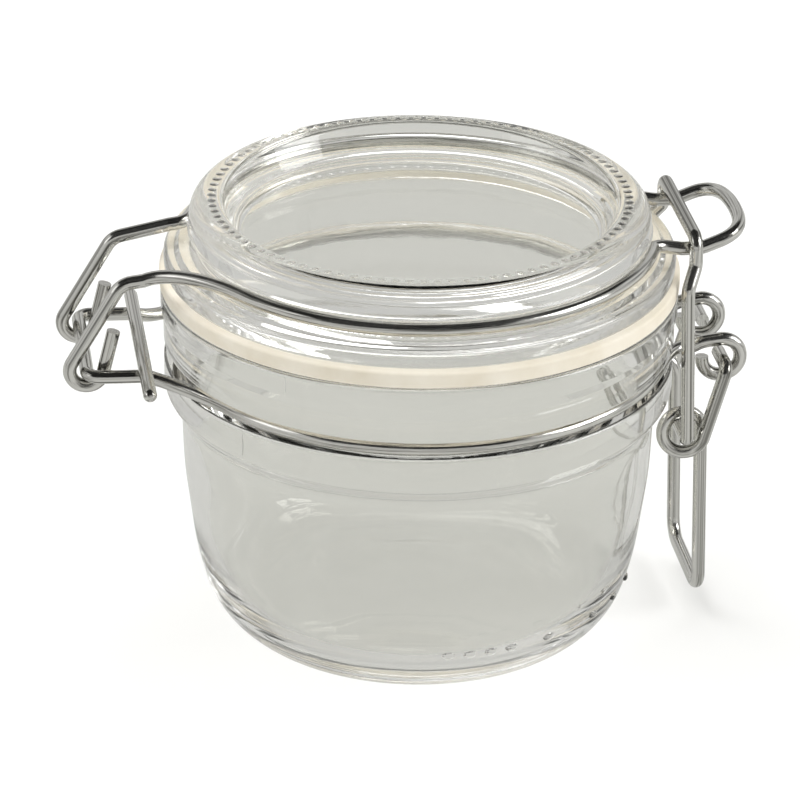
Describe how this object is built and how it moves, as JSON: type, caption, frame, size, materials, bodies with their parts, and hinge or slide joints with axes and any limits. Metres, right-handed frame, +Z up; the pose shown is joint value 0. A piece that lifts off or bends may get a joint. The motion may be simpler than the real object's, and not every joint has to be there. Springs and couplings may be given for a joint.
{
  "type": "clip top jar",
  "caption": "Small clear glass storage jar with a bowl shaped body, shut by a glass lid on a rubber ring and a spring wire hinge and clip.",
  "frame": {"origin": "centre of the base, on the surface the jar stands on", "axes": "+Z up along the jar's axis, +X from the hinge towards the clip, +Y completes the right-handed frame"},
  "size_m": [0.1081, 0.0816, 0.0722],
  "materials": {
    "clear_glass": "smooth pressed glass",
    "cream_rubber": "matt",
    "bright_wire": "bright drawn wire"
  },
  "bodies": {
    "root": {"jar_glass": "clear_glass", "lid_glass": "clear_glass", "rubber_ring": "cream_rubber", "lid_wire": "bright_wire", "neck_wire": "bright_wire", "hinge_rod": "bright_wire"},
    "lever": {"clip_lever": "bright_wire"},
    "link": {"clip_link": "bright_wire"}
  },
  "joints": [
    {"name": "lever_pivot", "type": "hinge", "parent": "root", "child": "lever", "pos_m": [0.0472, 0, 0.0453], "axis": [0, -1, 0], "range_deg": [0, 110], "deforming": ["lid_wire"]},
    {"name": "link_pivot", "type": "hinge", "parent": "lever", "child": "link", "pos_m": [0.0408, 0, 0.034], "axis": [0, -1, 0], "range_deg": [-74, 0]}
  ],
  "couplings": [
    {"joint": "link_pivot", "follows": "lever_pivot", "ratio": -0.6727}
  ]
}
